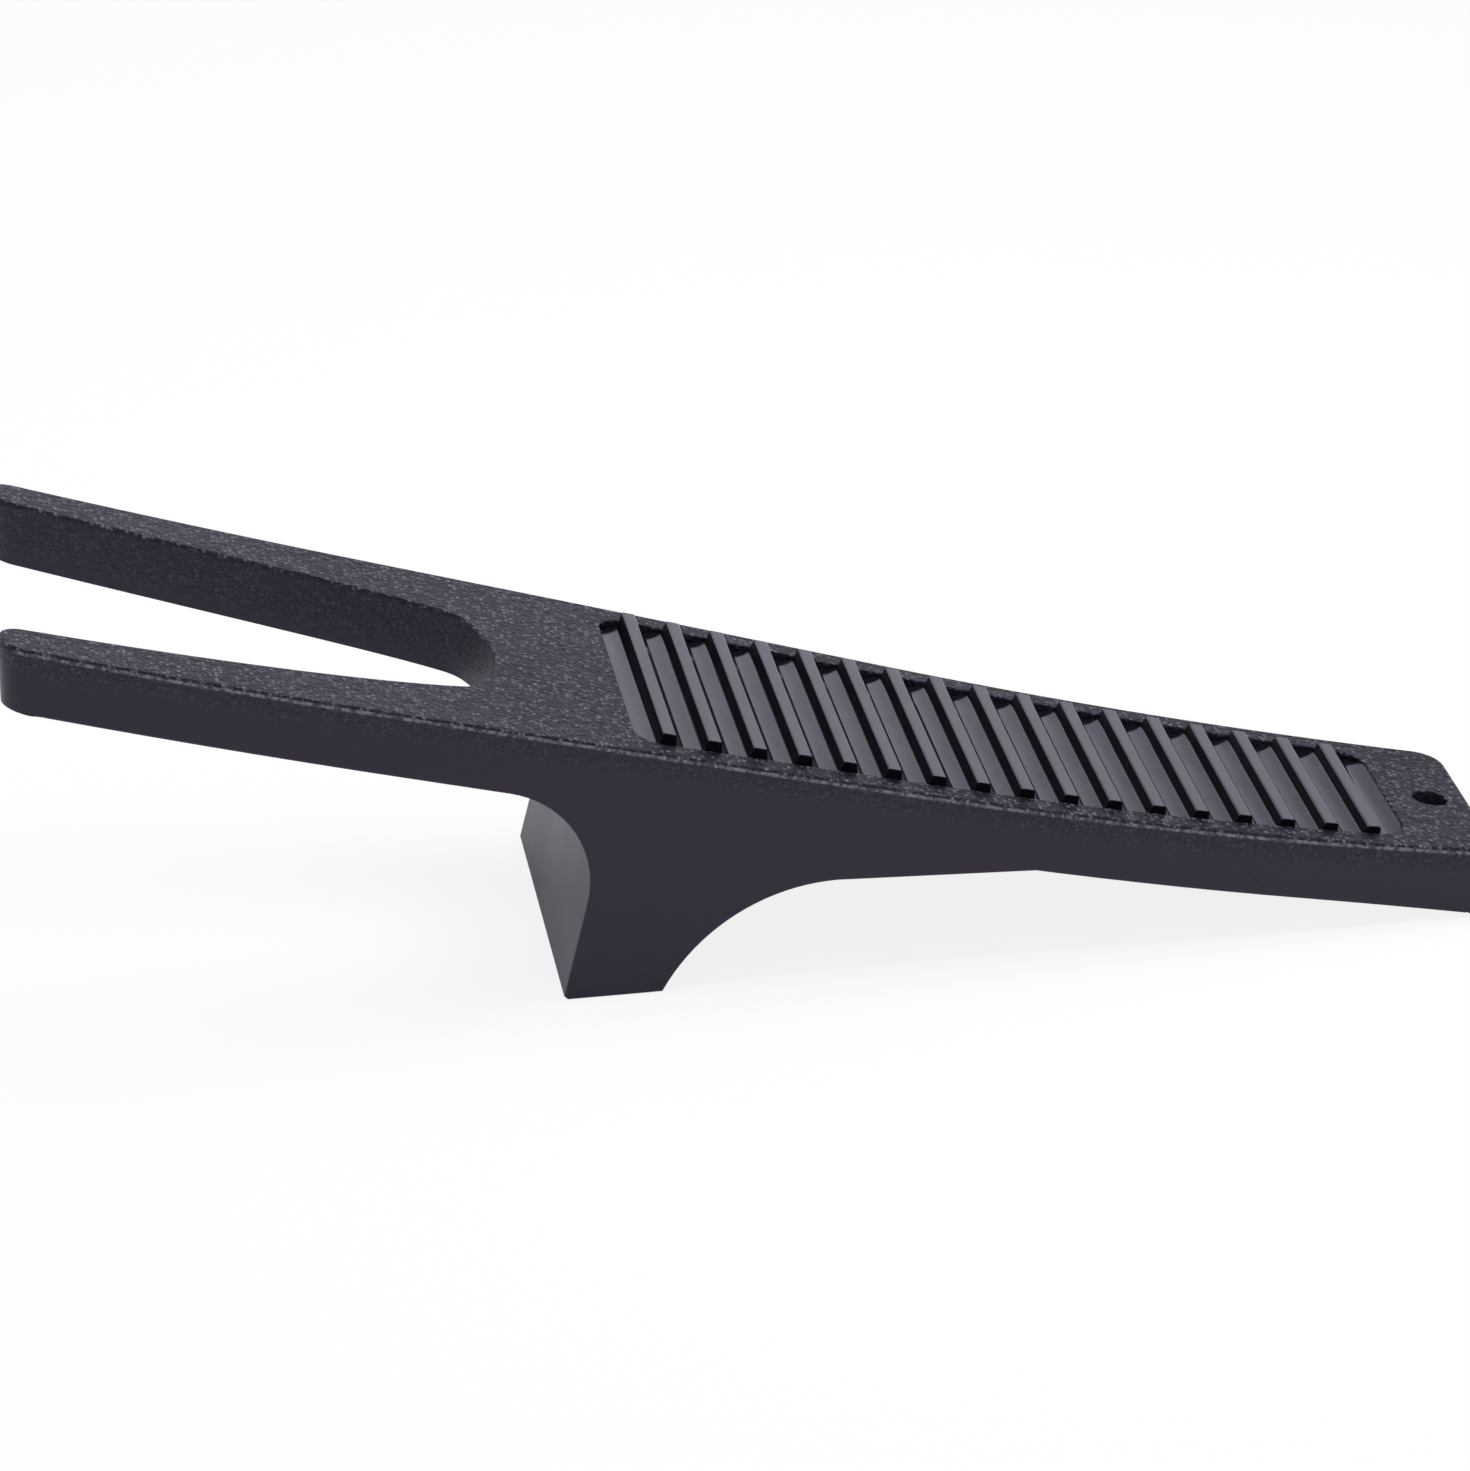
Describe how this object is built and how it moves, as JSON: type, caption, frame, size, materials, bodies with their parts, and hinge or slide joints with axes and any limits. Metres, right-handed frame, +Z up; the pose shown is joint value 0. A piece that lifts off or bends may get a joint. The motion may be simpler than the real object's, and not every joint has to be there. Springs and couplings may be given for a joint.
{
  "type": "boot jack",
  "caption": "Boot jack with a sloping forked deck, moulded leg and ribbed tread pad, for pulling off boots without bending down.",
  "frame": {"origin": "middle of the footprint's box, on the floor that the jack stands on", "axes": "+X from the fork tips to the tail, +Y across the deck, +Z up from the floor"},
  "size_m": [0.33, 0.102, 0.092],
  "materials": {
    "body_plastic": "fine moulded grain on the deck and the top of the sides, smooth below",
    "tread_rubber": "smooth, satin gloss"
  },
  "bodies": {
    "root": {"body": "body_plastic", "tread_pad": "tread_rubber"}
  },
  "joints": []
}
